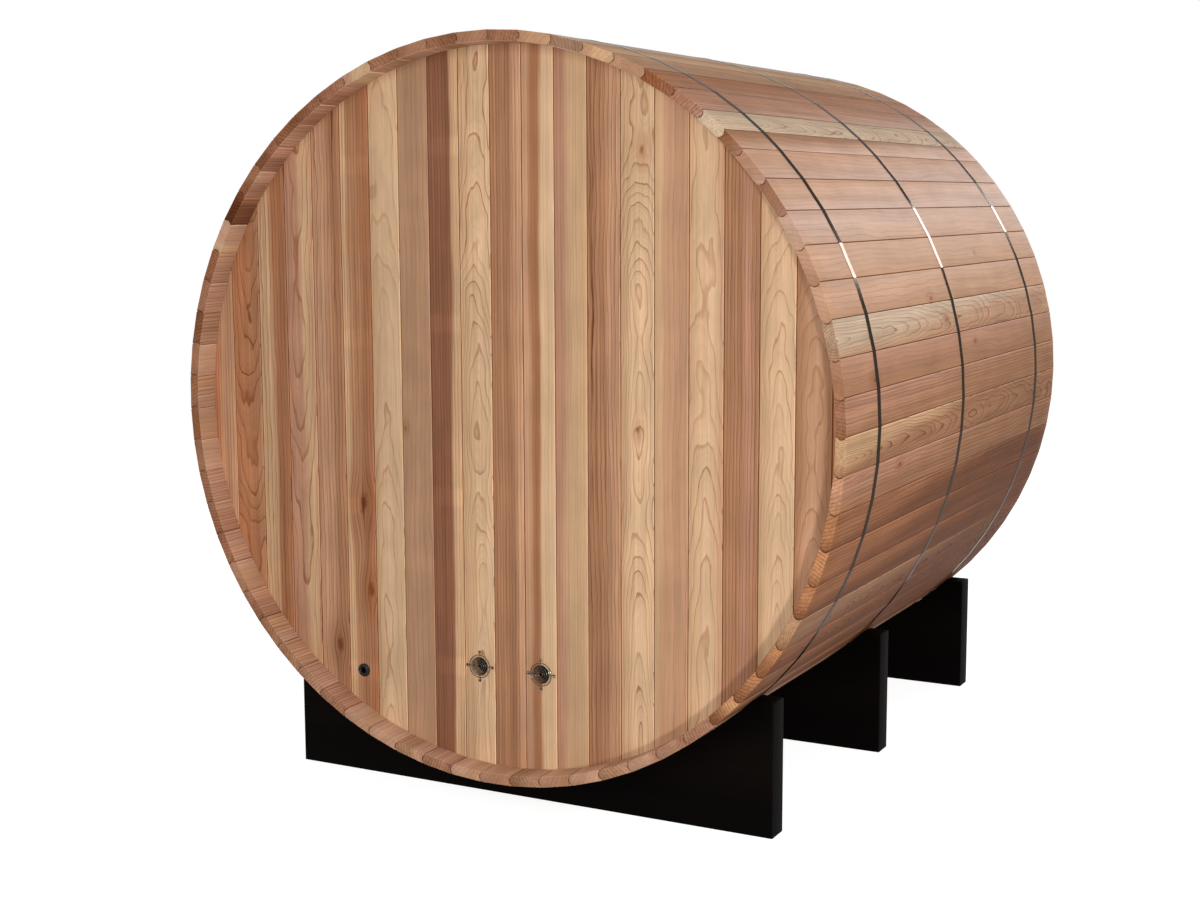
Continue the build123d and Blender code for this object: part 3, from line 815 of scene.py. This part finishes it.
def wall_board(place, shift, face, inward, rows=None):
    """A board of a round wall. Rows list its height functions from below, each with a limit on x or None."""
    first, last = round_places(shift)
    left = shift + (place - 0.5) * BOARD_PITCH + GAP / 2
    right = shift + (place + 0.5) * BOARD_PITCH - GAP / 2
    if place == first:
        outline = board_outline(-WALL_RADIUS, right, WALL_THICKNESS, groove=False)
        outline[:, 0] = np.maximum(outline[:, 0], -WALL_RADIUS)
    elif place == last:
        outline = board_outline(left, WALL_RADIUS, WALL_THICKNESS, tongue=0.0)
    else:
        outline = board_outline(left, right, WALL_THICKNESS)
    stations = []
    for height, limit in rows or ((arc_foot, None), (arc_end, None)):
        row = []
        for x, depth in outline:
            x = x if limit is None else min(x, limit)
            x = max(min(x, WALL_RADIUS), -WALL_RADIUS)
            row.append((x, face + inward * depth, AXIS_HEIGHT + height(x)))
        stations.append(row)
    return loft(stations)


def round_places(shift):
    """Numbers of the first and last board of a round wall."""
    reach = WALL_RADIUS - 0.03
    return math.ceil((-reach - shift) / BOARD_PITCH - 0.5), math.floor((reach - shift) / BOARD_PITCH + 0.5)


def arc_foot(x):
    return -arc_end(x)


def round_bore(x, z, radius, low, high):
    """A cutter along Y."""
    outline = circle(radius, np.linspace(0, 2 * math.pi, 65)[:-1]) + (x, z)
    return loft([[(u, y, v) for u, v in outline] for y in (low, high)])


VENT_X = {"left": VENT_WALL_SHIFT - BOARD_PITCH, "right": VENT_WALL_SHIFT + BOARD_PITCH}
VENT_Z = AXIS_HEIGHT + 0.244 - INNER_RADIUS
VENT_BORE = 0.022
GLAND_X = VENT_WALL_SHIFT - 5 * BOARD_PITCH
GLAND_Z = AXIS_HEIGHT + 0.193 - INNER_RADIUS
GLAND_BORE = 0.0128

VENT_WALL_LOOKS = {
    -10: look("rust tan", "straight", (0.0, 0.03), 0.01),
    -9: look(
        "rust red brown", "cathedral", (0.0, 0.03), 0.03,
        pith=(0.012, 0.080, 0.0076), taper=-0.09, contrast=0.9,
    ),
    -8: look("straw red", "rift", (-0.002, 0.03), 0.010),
    -7: look("rose straw tan", "soft", (0.004, 0.034), 0.010, taper=-0.03, contrast=0.8),
    -6: look(
        "tan brown", "rift", (0.004, 0.03), 0.012,
        vein=(0.021, 0.55, 0.35), knots=[(0.014, -0.62, 0.012)],
    ),
    -5: look(
        "straw brown red", "straight", (-0.022, 0.012), 0.006,
        knots=[(0.010, -0.25, 0.016), (0.028, -0.47, 0.012)], marks=(0.10, 0.1),
    ),
    -4: look("straw cream", "soft", (-0.02, 0.03), 0.02, contrast=0.45),
    -3: look("taupe", "plain", marks=(0.05, 0.4), knots=[(-0.034, -0.05, 0.004)]),
    -2: look("plum plum straw", "straight", (-0.02, 0.018), 0.006, contrast=0.8, marks=(0.14, 0.0)),
    -1: look("straw cream", "squiggle", (-0.01, 0.03), 0.02),
    0: look("brown tan", "straight", (0.02, 0.05), 0.012),
    1: look("tan red cream", "straight", (-0.022, 0.004), 0.007, contrast=0.4),
    2: look("rose straw", "straight", (-0.016, 0.02), 0.012, contrast=0.4),
    3: look(
        "brown brown tan", "rift", (-0.015, 0.01), 0.012,
        contrast=1.2, vein=(-0.030, 0.42, 0.42), streaks=0.4,
    ),
    4: look(
        "straw cream", "squiggle", (-0.02, 0.02), 0.02,
        knots=[(0.012, 0.62, 0.008), (0.002, -0.02, 0.005)],
    ),
    5: look("straw tan tan", "plain", (-0.022, 0.0), 0.008, lean=-0.012),
    6: look("straw cream tan", "soft", (-0.02, 0.03), 0.02, contrast=0.55),
    7: look("brown rose brown", "straight", (0.0, 0.024), 0.01),
    8: look("straw cream", "squiggle", (-0.02, 0.02), 0.02, contrast=0.5),
    9: look("brown tan brown", "cathedral", (-0.02, 0.02), 0.02, contrast=0.45),
    10: look("rust red", "straight"),
}


def make_vent_wall():
    first, last = round_places(VENT_WALL_SHIFT)
    groups = (
        ("vent_end_left_planks", "vent_wall_left_boards", first, -6),
        ("gland_plank", "gland_board", -5, -5),
        ("vent_end_middle_left_planks", "vent_wall_middle_left_boards", -4, -2),
        ("left_vent_plank", "left_vent_board", -1, -1),
        ("centre_plank", "centre_board", 0, 0),
        ("right_vent_plank", "right_vent_board", 1, 1),
        ("vent_end_middle_right_planks", "vent_wall_middle_right_boards", 2, 5),
        ("vent_end_right_planks", "vent_wall_right_boards", 6, last),
    )
    reach = (-WALL_FACE - 0.01, -WALL_FACE + WALL_THICKNESS + 0.01)
    bores = {
        -5: [round_bore(GLAND_X, GLAND_Z, GLAND_BORE, *reach)],
        -1: [round_bore(VENT_X["left"], VENT_Z, VENT_BORE, *reach)],
        1: [round_bore(VENT_X["right"], VENT_Z, VENT_BORE, *reach)],
    }
    for name, node, start, end in groups:
        solids, grains = [], []
        for place in range(start, end + 1):
            solids.append(wall_board(place, VENT_WALL_SHIFT, -WALL_FACE, 1))
            middle = (VENT_WALL_SHIFT + place * BOARD_PITCH, -WALL_FACE, AXIS_HEIGHT)
            grains.append(Grain(middle, X, Y, Z, VENT_WALL_LOOKS[place], 2.13 * place + 40.0))
        piece(name, solids, "wall_cedar", [node], grains, bores.get(start, ()))


def random_look(seed):
    chance = random.Random(seed)
    tones, cut = chance.choice(STAVE_CHOICES)
    middle = chance.uniform(-0.03, 0.03)
    knots = random_knots(chance, 0.3, 0.7)
    return look(tones, cut, (middle, middle + 0.02), 0.014, knots=knots)


def make_door_wall():
    shift = BOARD_PITCH / 2
    first, last = round_places(shift)
    beside = DOORWAY_BOARDS // 2
    head, sill = (lambda x: DOORWAY_TOP), (lambda x: -DOORWAY_TOP)
    limit = -DOORWAY_HALF - GAP / 2
    above = ((head, None), (arc_end, None))
    below = ((arc_foot, None), (sill, None))
    notched = below + ((sill, limit), (head, limit)) + above
    groups = (
        ("door_end_left_planks", "door_wall_left_boards", range(first, -beside), None, 500),
        ("door_end_right_planks", "door_wall_right_boards", range(beside, last + 1), None, 500),
        ("planks_over_door", "door_wall_boards_over_door", range(-beside, beside), above, 300),
        ("planks_under_door", "door_wall_boards_under_door", range(-beside, beside), below, 300),
    )
    for name, node, places, rows, seed in groups:
        solids, grains = [], []
        for place in places:
            rows_here = notched if place == -beside - 1 else rows
            solids.append(wall_board(place, shift, WALL_FACE, -1, rows_here))
            middle = (shift + place * BOARD_PITCH, WALL_FACE, AXIS_HEIGHT)
            grains.append(Grain(middle, X, -Y, Z, random_look(seed + place), 1.71 * place + 150.0))
        piece(name, solids, "wall_cedar", [node], grains)


# Door, its frame and fittings

FRAME_WIDTH = 0.038
FRAME_DEPTH = 0.062
FRAME_FRONT = WALL_FACE + 0.018
DOOR_THICKNESS = 0.022
DOOR_CLEARANCE = 0.003
DOOR_BOARDS = 7
STOP_WIDTH = 0.016
STOP_DEPTH = 0.014
LEDGE_INSET = 0.13
LEDGE_MARGIN = 0.03
LEDGE_DEPTH = 0.02
LEDGE_HALF_HEIGHT = 0.055
HANDLE_INSET = 0.07


def timber(name, node, boxes, axis, radius, tones):
    """Planed timber pieces given by their corners, with heights from the barrel's axis."""
    solids, grains = [], []
    along = np.eye(3)[axis]
    for number, (low, high) in enumerate(boxes):
        low = np.array(low) + AXIS
        high = np.array(high) + AXIS
        solids.append(bar(low, high, axis, radius))
        across = X if axis == 2 else Z
        style = look(tones, "straight", (0.0, 0.03), 0.02)
        middle = (low + high) / 2
        middle[1] = high[1]
        grains.append(Grain(middle, across, -Y, along, style, 3.1 * number + len(node) * 1.9))
    piece(name, solids, "door_cedar", [node], grains)


def make_door_end():
    back = FRAME_FRONT - FRAME_DEPTH
    half, top = DOORWAY_HALF - GAP, DOORWAY_TOP - GAP
    inner = half - FRAME_WIDTH
    jamb_top = top - FRAME_WIDTH - GAP
    head = ((-half, back, top - FRAME_WIDTH), (half, FRAME_FRONT, top))
    timber("head_rail", "door_head", [head], 0, 0.002, "rose tan")
    sill = ((-half, back, -top), (half, FRAME_FRONT, FRAME_WIDTH - top))
    timber("sill_rail", "door_sill", [sill], 0, 0.002, "brown tan")
    sides = [((s * inner, back, -jamb_top), (s * half, FRAME_FRONT, jamb_top)) for s in (-1, 1)]
    timber("jamb_pair", "door_jambs", sides, 2, 0.002, "tan rose")
    front = FRAME_FRONT - DOOR_THICKNESS - GAP
    edge = inner - GAP
    sides = []
    for s in (-1, 1):
        sides.append(((s * (edge - STOP_WIDTH), front - STOP_DEPTH, -jamb_top), (s * edge, front, jamb_top)))
    timber("stop_pair", "door_stops", sides, 2, 0.0015, "straw tan")

    door_half = inner - DOOR_CLEARANCE
    door_top = top - FRAME_WIDTH - DOOR_CLEARANCE
    pitch = 2 * door_half / DOOR_BOARDS
    solids, grains = [], []
    for index in range(DOOR_BOARDS):
        last = index == DOOR_BOARDS - 1
        left = -door_half + index * pitch + (GAP / 2 if index else 0)
        right = left + pitch - GAP / 2 - (GAP / 2 if index and not last else 0)
        outline = board_outline(left, right, DOOR_THICKNESS, 0.0 if last else TONGUE, groove=index > 0)
        place = lambda u, v, w: (u, FRAME_FRONT - v, AXIS_HEIGHT + w)
        solids.append(ends_rounded(outline, -door_top, door_top, place, 0.001))
        middle = ((left + right) / 2, FRAME_FRONT, AXIS_HEIGHT)
        grains.append(Grain(middle, X, -Y, Z, random_look(700 + index), 2.9 * index + 210.0))
    piece("door_planks", solids, "door_cedar", ["door_boards"], grains)

    ledge_half = edge - STOP_WIDTH - LEDGE_MARGIN
    high = door_top - LEDGE_INSET
    ledges = []
    for middle in (-high, 0.0, high):
        low = (-ledge_half, front - LEDGE_DEPTH, middle - LEDGE_HALF_HEIGHT)
        ledges.append((low, (ledge_half, front, middle + LEDGE_HALF_HEIGHT)))
    timber("ledge_set", "door_ledges", ledges, 0, 0.003, "tan rose")
    hinges = [hinge(AXIS + [inner - DOOR_CLEARANCE / 2, FRAME_FRONT, middle]) for middle in (-high, high)]
    piece("hinge_pair", hinges, "stainless_band", ["door_hinges"])
    make_handle(-door_half + HANDLE_INSET)


def dome(origin, axis, radius, height, segments=16):
    """A low round screw head."""
    profile = [(0.0, 0.0), (radius, 0.0), (radius, height * 0.3), (radius * 0.82, height * 0.75)]
    profile += [(radius * 0.5, height * 0.97), (0.0, height)]
    return lathe(profile, origin, axis, segments)


def hinge(centre):
    """A butt hinge: two leaves with screws and a knuckle in five parts."""
    leaf, half_height, thickness, knuckle = 0.034, 0.045, 0.0025, 0.005
    outer, inner = 0.005, 0.0006
    parts = []
    for side in (-1, 1):
        spots = [centre + [side * inner, 0.0, -half_height], centre + [side * leaf, thickness, half_height]]
        low, high = np.min(spots, 0), np.max(spots, 0)
        radii = [outer, inner, inner, outer] if side < 0 else [inner, outer, outer, inner]
        outline = rounded(rectangle(low[[0, 2]], high[[0, 2]]), radii, 4)
        parts.append(ends_rounded(outline, low[1], high[1], lambda u, v, w: (u, w, v), 0.0004))
        for row in (-0.03, 0.0, 0.03):
            parts.append(dome(centre + [side * (leaf * 0.62), thickness, row], Y, 0.0032, 0.0011))
    span = 2 * half_height / 5
    r, ease = knuckle, 0.0005
    for step in range(5):
        low = -half_height + step * span + 0.0002
        high = low + span - 0.0004
        profile = [(0.0, low), (r - ease, low), (r, low + ease)]
        profile += [(r, high - ease), (r - ease, high), (0.0, high)]
        parts.append(lathe(profile, centre + [0.0, knuckle, 0.0], Z, 24))
    return joined(*parts)


def make_handle(x):
    """A turned bar on two posts."""
    half, radius, post = 0.13, 0.012, 0.008
    centre = AXIS + [x, FRAME_FRONT + 0.015 + radius, 0.0]
    profile = [(0.0, -half)]
    profile += [(radius - radius / 2 * a, -half + radius / 2 * b) for a, b in quarter(6)]
    profile += [(radius * 0.93, -half * 0.4), (radius * 0.93, half * 0.4)]
    profile += [(r, -h) for r, h in profile[:8][::-1]]
    parts = [lathe(profile, centre, Z, 32)]
    for side in (-1, 1):
        spot = AXIS + [x, FRAME_FRONT, side * half * 2 / 3]
        profile = [(0.0, 0.0), (post, 0.0), (post, 0.002), (post * 0.86, 0.004)]
        profile += [(post * 0.86, 0.011), (post, 0.015), (post, 0.02), (0.0, 0.02)]
        parts.append(lathe(profile, spot, Y, 24))
    grain = Grain(centre, X, -Y, Z, look("brown red", "straight", (0.0, 0.02), 0.01), 77.7, 0)
    piece("turned_handle", [joined(*parts)], "door_cedar", ["door_handle"], [grain])


# Fittings of the vented end

def ring_path(centre, radius, start=0.0, end=360.0, steps=48):
    """Points round a circle that faces the vented end."""
    turns = np.radians(np.linspace(start, end, steps + 1))
    if end - start >= 360:
        turns = turns[:-1]
    return [np.array(centre) + [u, 0, v] for u, v in circle(radius, turns)]


def make_guard(side):
    """A wire finger guard: rings on four spokes that curl round its screws."""
    wire = 0.0009
    middle = np.array([VENT_X[side], -WALL_FACE - GAP - wire, VENT_Z])
    parts = []
    for radius in np.linspace(0.0055, 0.0285, 5):
        parts.append(tube(ring_path(middle - Y * wire * 1.6, radius), wire, closed=True))
    reach, eye = 0.0355, 0.0032
    for angle in (0, 90, 180, 270):
        out = directions(angle)[0]
        centre = middle + out * reach
        loop = ring_path(centre, eye, angle + 180, angle + 480, 20)
        start = middle + out * 0.0050
        parts.append(tube([start, start + out * 0.012, centre - out * (eye + 0.0006)] + loop[1:], wire))
        parts.append(dome((centre[0], -WALL_FACE, centre[2]), -Y, 0.0021, 0.0024))
    piece(f"{side}_finger_guard", [joined(*parts)], "chromed_wire", [f"{side}_vent_guard"])


def make_gland():
    """A flanged bush with a domed nut, right through its board."""
    back = -WALL_THICKNESS - 0.012
    profile = [(0.007, back), (0.0118, back), (0.0125, back + 0.0007), (0.0125, 0.0003), (0.0165, 0.0003)]
    profile += [(0.017, 0.0009), (0.0170, 0.0026), (0.0162, 0.0042), (0.0148, 0.0051), (0.0132, 0.0053)]
    profile += [(0.0112, 0.0053), (0.0104, 0.0047), (0.0098, 0.0039), (0.0088, 0.0040)]
    profile += [(0.0078, 0.0048), (0.0072, 0.0042), (0.0070, 0.0030)]
    solid = lathe(profile, (GLAND_X, -WALL_FACE, GLAND_Z), -Y, 64)
    piece("gland_bush", [solid], "black_plastic", ["cable_gland"])


# Bands

BAND_PLACES = (("vent_end", -0.687), ("middle", -0.038), ("door_end", 0.687))
BAND_WIDTH = 0.020
BAND_THICKNESS = 0.0008
BAND_CORNER = 0.0002
BAND_GAP = 0.0001
TENSIONER_ANGLE = 242.0
LUG_HALF = 0.013
LUG_THICKNESS = 0.004
LUG_HEIGHT = 0.024
BOLT_HEIGHT = 0.014


def band(place):
    """A strap that lies flat on each stave and bends at each joint, open at its tensioner."""
    middles = [start + width / 2 for start, width in SPANS]
    gap = min(range(len(SPANS)), key=lambda i: abs(middles[i] - TENSIONER_ANGLE))
    low, high = place - BAND_WIDTH / 2, place + BAND_WIDTH / 2
    section = rounded(rectangle((low, 0), (high, BAND_THICKNESS)), BAND_CORNER, 3)
    out, across = directions(middles[gap])
    flat = AXIS + out * (FACET_RADIUS + BAND_GAP)
    rows = [(flat + across * LUG_HALF, out)]
    for joint, width in SPANS[gap + 1:] + SPANS[:gap + 1]:
        away = directions(joint)[0]
        rows.append((AXIS + away * (RADIUS + BAND_GAP), away))
    rows.append((flat - across * LUG_HALF, out))
    return loft([[base + Y * y + way * h for y, h in section] for base, way in rows]), middles[gap]


def make_bands():
    lugs, bolts = [], []
    foot = AXIS_HEIGHT + FACET_RADIUS + BAND_GAP + BAND_THICKNESS
    for name, place in BAND_PLACES:
        solid, angle = band(place)
        piece(f"{name}_strap", [solid], "stainless_band", [f"{name}_band"], sharp=2.0)
        low, high = place - BAND_WIDTH / 2, place + BAND_WIDTH / 2
        corners = rectangle((low, foot), (high, foot + LUG_HEIGHT))
        outline = rounded(corners, [0.0003, 0.0003, 0.006, 0.006], 5)
        for start in (-LUG_HALF - LUG_THICKNESS, LUG_HALF):
            plate = ends_rounded(outline, start, start + LUG_THICKNESS, lambda u, v, w: (w, u, v), 0.0005)
            lugs.append(turned(plate, angle))
        bolts.append(turned(bolt(place, foot + BOLT_HEIGHT), angle))
    piece("lug_set", lugs, "stainless_band", ["tensioner_lugs"])
    piece("bolt_set", bolts, "stainless_band", ["tensioner_bolts"])


def bolt(y, z):
    """A hexagon bolt across the two lugs, with a nut and a thread."""
    outer = LUG_HALF + LUG_THICKNESS
    origin = np.array([0.0, y, z])
    radius, pitch, head = 0.004, 0.00125, 0.0055
    low, high = -outer - GAP, outer + 0.009
    profile = [(0.0, low), (radius * 0.92, low)]
    for step in range(int((high - 0.001 - low) / pitch)):
        start = low + step * pitch
        profile += [(radius * 0.9, start + pitch * 0.1), (radius * 0.995, start + pitch * 0.5)]
    profile += [(radius * 0.9, high - 0.0008), (radius * 0.72, high), (0.0, high)]
    parts = [lathe(profile, origin, X, 24)]
    hexagon = rounded(circle(0.0065, np.radians(np.arange(0, 360, 60)))[:, ::-1], 0.0004, 2)
    for start in (low - head, outer + GAP):
        parts.append(ends_rounded(hexagon, start, start + head, lambda u, v, w: origin + [w, u, v], 0.0005))
    return joined(*parts)


# Cradles

CRADLE_HALF_WIDTH = 0.675
CRADLE_HEIGHT = 0.327
CRADLE_THICKNESS = 0.068
CRADLES = (
    ("vent_end_saddle", "vent_end_cradle", -0.750, 0.9012),
    ("middle_saddle", "middle_cradle", 0.007, 0.9003),
    ("door_end_saddle", "door_end_cradle", 0.764, 0.9003),
)


def cradle(low, seat):
    """A plank on edge with a round seat cut in its top, and all its edges eased."""
    rise = AXIS_HEIGHT - CRADLE_HEIGHT
    reach = math.sqrt(seat**2 - rise**2)
    half = CRADLE_HALF_WIDTH
    corner = rounded([(half, 0.0), (half, CRADLE_HEIGHT), (reach, CRADLE_HEIGHT)], 0.004, 3)[4:8]
    start = math.atan2(reach, rise)
    arc = circle(seat, np.linspace(start, -start, 97)) * (1, -1) + (0, AXIS_HEIGHT)
    outline = np.concatenate([[(-half, 0.0), (half, 0.0)], corner, arc, corner[::-1] * (-1, 1)])
    return ends_rounded(outline, low, low + CRADLE_THICKNESS, lambda u, v, w: (u, w, v), 0.003, 3)


def make_cradles():
    for number, (name, node, low, seat) in enumerate(CRADLES):
        style = look("stain stain_light stain", "soft", (-0.05, 0.08), 0.05, wander=0.05, contrast=0.5)
        grain = Grain((0.0, low, CRADLE_HEIGHT / 2), Z, Y, X, style, 5.3 * number + 3.0)
        piece(name, [cradle(low, seat)], "black_stained_timber", [node], [grain])


make_staves()
make_vent_wall()
make_door_wall()
make_door_end()
for side in VENT_X:
    make_guard(side)
make_gland()
make_bands()
make_cradles()


# Studio

def in_view(g):
    """1 where the camera sees a surface, also by way of metal or glass."""
    rays = [g.node("LightPath", output=f"Is {kind} Ray") for kind in ("Camera", "Glossy", "Transmission")]
    return g.most(g.most(rays[0], rays[1]), rays[2])


def studio_floor():
    """A pale floor that keeps the object's shadow and shows as white as the background."""
    corners = [(u, v, 0) for u, v in rectangle((-FLOOR_HALF, -FLOOR_HALF), (FLOOR_HALF, FLOOR_HALF))]
    floor = placed("floor", mesh_of("floor", (np.array(corners), [(0, 1, 2, 3)])))
    g = Graph(bpy.data.materials.new("floor_paint"))
    mottle = g.noise(g.object_place(), 3.0, 3.0)
    floor.data.materials.append(g.principled(
        Base_Color=g.mix(mottle, (0.34, 0.34, 0.34), (0.36, 0.36, 0.36)), Roughness=0.9,
        Specular_IOR_Level=0.1, Emission_Color=WHITE, Emission_Strength=in_view(g) * FLOOR_GLOW,
    ))


def studio_world():
    g = Graph(bpy.data.worlds.new("studio"))
    shades = [g.node("Background", (WHITE, strength)) for strength in (WORLD_LIGHT, 1.0)]
    bpy.context.scene.world = g.finish(g.node("MixShader", (in_view(g), *shades)), "OutputWorld")


def lamp(name, place, target, size, power):
    """A soft light with a width and a height."""
    light = bpy.data.lights.new(name, "AREA")
    light.shape, light.energy = "RECTANGLE", power
    light.size, light.size_y = size
    thing = placed(name, light)
    thing.location = place
    thing.rotation_euler = (Vector(target) - Vector(place)).to_track_quat("-Z", "Y").to_euler()


def camera():
    yaw, pitch, roll = (math.radians(a) for a in (27.74, -7.858, -0.189))
    lens = bpy.data.cameras.new("photo_camera")
    lens.lens, lens.sensor_width, lens.sensor_fit = 54.447, 36.0, "HORIZONTAL"
    lens.clip_start, lens.clip_end = 0.05, 200.0
    thing = placed("photo_camera", lens)
    place = Matrix.Translation((2.2258, -4.5578, 1.4898))
    for angle, axis in ((yaw, "Z"), (math.pi / 2 + pitch, "X"), (roll, "Z")):
        place = place @ Matrix.Rotation(angle, 4, axis)
    thing.matrix_world = place
    bpy.context.scene.camera = thing


FLOOR_HALF = 40.0
FLOOR_GLOW = 0.88
WORLD_LIGHT = 0.28
studio_floor()
studio_world()
camera()
lamp("key", (2.9, -3.9, 0.72), (0.3, -0.8, 1.0), (0.35, 0.35), 58.0)
lamp("front_softbox", (0.4, -5.0, 2.2), (-0.1, -0.8, 1.1), (3.0, 2.4), 102.0)
lamp("side_softbox", (3.6, -0.8, 2.8), (0.6, -0.2, 1.2), (0.9, 0.9), 50.0)
lamp("back_strip", (1.70, 4.1, 2.43), (0.8, -0.2, 1.4), (1.15, 0.6), 64.0)
lamp("door_softbox", (-2.6, 4.4, 1.15), (-0.1, 0.9, 1.0), (2.6, 1.7), 95.0)

bpy.context.scene.view_settings.view_transform = "Standard"
